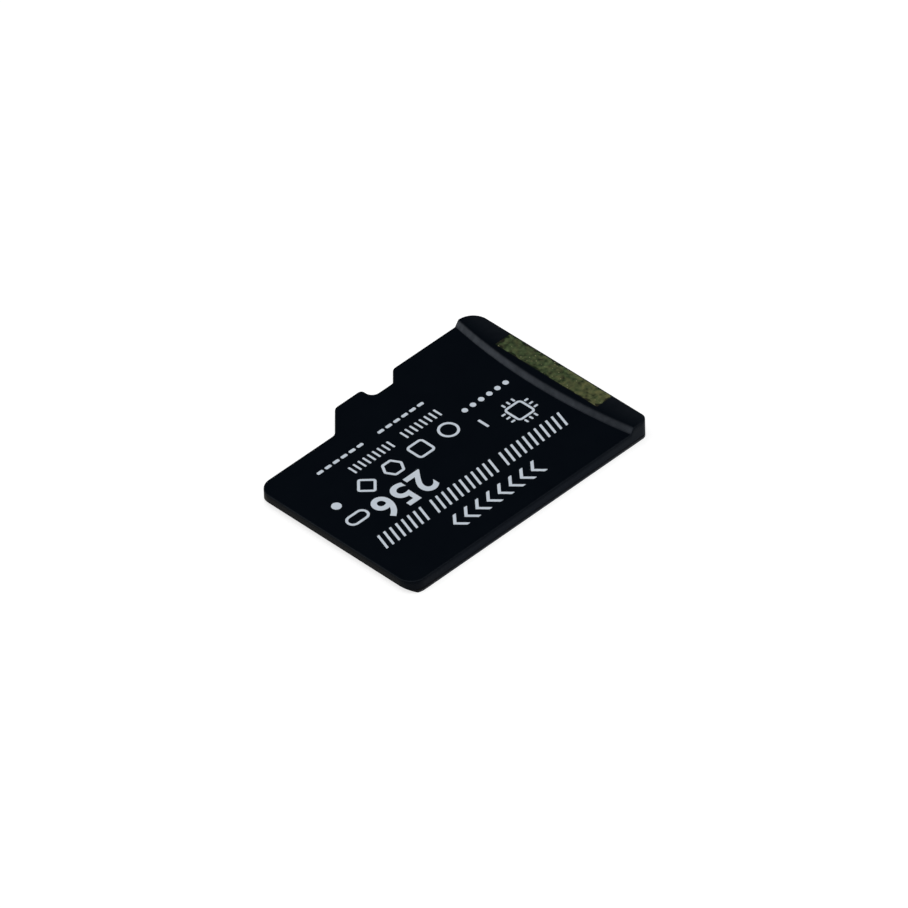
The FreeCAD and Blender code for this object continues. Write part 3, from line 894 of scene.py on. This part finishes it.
# Sign row: ring, square, hexagon and diamond lines and a full disc, with their middles on one line
def buildSigns():
    y, half, stroke = signRow["middle"], signRow["half"], signRow["stroke"]
    ring, square, hexagon, diamond = (start + half for start in signRow["starts"])
    ringRound = half - ink["roundShort"]
    blocks = inkBand(squareCorners(ring, y, half), ringRound, stroke, ink["ringStops"])
    cornered = (
        (squareCorners(square, y, half), signRow["squareRound"]),
        (regularCorners(hexagon, y, half * signRow["hexagonReach"], 6), signRow["cornerRound"]),
        (regularCorners(diamond, y, half * signRow["diamondReach"], 4), signRow["cornerRound"]))
    for corners, rounding in cornered:
        blocks += inkBand(corners, rounding, stroke, ink["lineStops"])
    x, reach = signRow["disc"]
    blocks += inkPlate(squareCorners(x, y, reach), reach - ink["roundShort"], ink["discStops"])
    return printPiece("print_sign_row", blocks)


smallLines = {
    "ticks": {"runs": [(-1.66, 8), (1.3, 9)], "size": (0.11, 0.52), "pitch": 0.3,
              "middle": -1.9, "round": 0.03},
    "dashes": {"runs": [(-1.66, 6), (2.15, 6)], "size": (0.36, 0.17), "pitch": 0.5,
               "middle": -2.85, "round": 0.06},
    "dots": {"runs": [(-5.29, 6)], "size": (0.3, 0.3), "pitch": 0.52, "middle": -1.11,
             "round": 0.149},
    "oblong": (5.3, 6.42, 0.23, 0.8), "oblongStroke": 0.13,
    "upright": (-2.54, -2.4, -0.2, 0.45), "uprightRound": 0.04}


# Small lines: rows of ticks, dashes and dots at even pitch, an oblong ring and a short bar
def buildSmallLines():
    upright = boxCorners(*smallLines["upright"])
    blocks = inkPlate(upright, smallLines["uprightRound"], ink["barStops"])
    lowX, highX, lowY, highY = smallLines["oblong"]
    rounding = (highY - lowY) / 2 - ink["roundShort"]
    oblong = boxCorners(lowX, highX, lowY, highY)
    blocks += inkBand(oblong, rounding, smallLines["oblongStroke"], ink["discStops"])
    for row in (smallLines["ticks"], smallLines["dashes"], smallLines["dots"]):
        (width, height), middle = row["size"], row["middle"]
        for start, count in row["runs"]:
            for x in start + row["pitch"] * np.arange(count):
                corners = boxCorners(x, x + width, middle - height / 2, middle + height / 2)
                blocks += inkPlate(corners, row["round"], ink["rowStops"])
    return printPiece("print_small_lines", blocks)


prints = [buildArrows(), buildSlants(), buildChipSign(), buildNumber(), buildSigns(),
          buildSmallLines()]
print("print:", sum(len(piece.data.polygons) for piece in prints), "faces")


# Studio: pale floor, soft lights and the fitted camera; floorSize, floorLift and the softboxes are
# in metres

studio = {
    "floorSize": 4.0, "floorLift": 1e-6, "floorGap": (3.2, 6.95, -3.9, 5.2),
    "floorShade": (0.4, 0.4, 0.4), "floorRough": 0.9, "floorSpecular": 0.1, "floorGlow": 0.75,
    "world": 0.1, "worldBelow": 0.65, "horizon": 8.0, "backdrop": 0.9}
bounce = {
    "span": (-4.0, 13.0),
    "tints": [(0.0, (1.0, 0.92, 0.8)), (0.3, (0.6, 0.7, 0.9)), (0.8, (0.6, 0.7, 0.9)),
              (1.0, (1.0, 1.1, 1.2))]}
softboxes = {
    "overheadBox": {
        "azimuth": 0.0, "elevation": 88.0, "distance": 0.9, "size": (0.9, 0.9), "power": 6.4},
    "lowFrontBox": {
        "azimuth": -35.0, "elevation": 20.0, "distance": 0.8, "size": (0.5, 0.25), "power": 1.8},
    "underBox": {
        "azimuth": 30.0, "elevation": -50.0, "distance": 0.8, "size": (0.4, 0.25), "power": 2.5}}


# Floor: a large square with a gap that the card covers, so light reaches its contacts from below,
# and clear where its back is seen, so that the whole underside shows. Its glow is white where it
# is seen itself; what the card's walls mirror of it is tinted by y - x, which grows from the front
# end round the plain side to the lip.
def buildFloor():
    half = studio["floorSize"] / 2
    mesh = bpy.data.meshes.new("floor")
    outer = np.array(boxCorners(-half, half, -half, half))
    gap = np.array(boxCorners(*studio["floorGap"])) * mm
    corners = atHeight(np.concatenate([outer, gap]), studio["floorLift"])
    mesh.from_pydata(corners.tolist(), [], ringFaces(2, len(gap)).tolist())
    floor = addObject("floor", mesh)
    material = bpy.data.materials.new("paleFloor")
    material.use_nodes = True
    tree = material.node_tree
    link = tree.links.new
    shader = tree.nodes["Principled BSDF"]
    setInputs(shader, {
        "Base Color": (*studio["floorShade"], 1.0), "Roughness": studio["floorRough"],
        "Specular IOR Level": studio["floorSpecular"], "Emission Strength": studio["floorGlow"]})
    axes = objectAxes(tree)
    around = mathNode(tree, "SUBTRACT", axes["Y"], axes["X"])
    tints = addNode(tree, "ValToRGB")
    link(spanShare(tree, around, bounce["span"]), tints.inputs["Fac"])
    stops = tints.color_ramp.elements
    while len(stops) < len(bounce["tints"]):
        stops.new(1.0)
    for stop, (position, tint) in zip(stops, bounce["tints"]):
        stop.position, stop.color = position, (*tint, 1.0)
    seen = addNode(tree, "LightPath").outputs["Is Camera Ray"]
    glow = mixColours(tree, seen, tints.outputs["Color"], white)
    link(glow, shader.inputs["Emission Color"])
    sided = addNode(tree, "MixShader")
    fromBack = addNode(tree, "NewGeometry").outputs["Backfacing"]
    clear = addNode(tree, "BsdfTransparent").outputs["BSDF"]
    for output, socket in zip((fromBack, shader.outputs["BSDF"], clear), sided.inputs):
        link(output, socket)
    link(sided.outputs["Shader"], tree.nodes["Material Output"].inputs["Surface"])
    mesh.materials.append(material)


# Direction: the unit vector at so many degrees round from +X and up from the floor
def wayTo(azimuth, elevation):
    a, e = math.radians(azimuth), math.radians(elevation)
    return Vector((math.cos(e) * math.cos(a), math.cos(e) * math.sin(a), math.sin(e)))


# Softbox: a flat light at a direction and distance from the card, turned to face it
def addSoftbox(name, azimuth, elevation, distance, size, power):
    lamp = bpy.data.lights.new(name, "AREA")
    lamp.shape = "RECTANGLE"
    lamp.size, lamp.size_y = size
    lamp.energy = power
    box = addObject(name, lamp)
    way = wayTo(azimuth, elevation)
    box.location = way * distance
    box.rotation_euler = way.to_track_quat("Z", "Y").to_euler()


buildFloor()
for lampName, lampValues in softboxes.items():
    addSoftbox(lampName, **lampValues)


# World: dim above the floor and pale below it, by how far the direction points down, and a pale
# backdrop where it is seen itself
def buildWorld():
    world = bpy.data.worlds.new("studioWorld")
    scene.world = world
    world.use_nodes = True
    tree = world.node_tree
    link = tree.links.new
    direction = addNode(tree, "TexCoord").outputs["Generated"]
    height = addNode(tree, "SeparateXYZ")
    link(direction, height.inputs[0])
    below = mathNode(tree, "MULTIPLY", height.outputs["Z"], -studio["horizon"], clamp=True)
    extra = mathNode(tree, "MULTIPLY", below, studio["worldBelow"] - studio["world"])
    lighting = mathNode(tree, "ADD", extra, studio["world"])
    seen = addNode(tree, "LightPath").outputs["Is Camera Ray"]
    backdrop = mathNode(tree, "MULTIPLY", seen, studio["backdrop"])
    shader = tree.nodes["Background"]
    link(mathNode(tree, "MAXIMUM", lighting, backdrop), shader.inputs["Strength"])
    shader.inputs["Color"].default_value = white


buildWorld()
scene.view_settings.view_transform = "Standard"

view = {
    "azimuth": 45.996, "elevation": 40.764, "roll": -2.1045, "distance": 513.9,
    "pixelsPerMm": 22.505, "imageSize": 908, "shiftRight": 11.04, "shiftUp": 6.66, "sensor": 36.0,
    "clip": (0.05, 20.0)}


# Camera: it stands at the fitted direction and distance and looks at the point that the middle of
# the picture falls on, a little to the right of and above the card's origin
def buildCamera():
    roll = math.radians(view["roll"])
    back = wayTo(view["azimuth"], view["elevation"])
    level = Vector((0, 0, 1)).cross(back).normalized()
    rise = back.cross(level)
    right = math.cos(roll) * level + math.sin(roll) * rise
    up = math.cos(roll) * rise - math.sin(roll) * level
    target = (right * view["shiftRight"] + up * view["shiftUp"]) / view["pixelsPerMm"] * mm
    spot = back * view["distance"] * mm
    away = (spot - target).normalized()
    right = up.cross(away).normalized()
    up = away.cross(right)
    camera = bpy.data.cameras.new("camera")
    camera.sensor_width = view["sensor"]
    camera.lens = view["distance"] * view["pixelsPerMm"] * view["sensor"] / view["imageSize"]
    camera.clip_start, camera.clip_end = view["clip"]
    holder = addObject("camera", camera)
    axes = Matrix((right, up, away)).transposed().to_4x4()
    holder.matrix_world = Matrix.Translation(spot) @ axes
    scene.camera = holder


buildCamera()
print("studio ready")
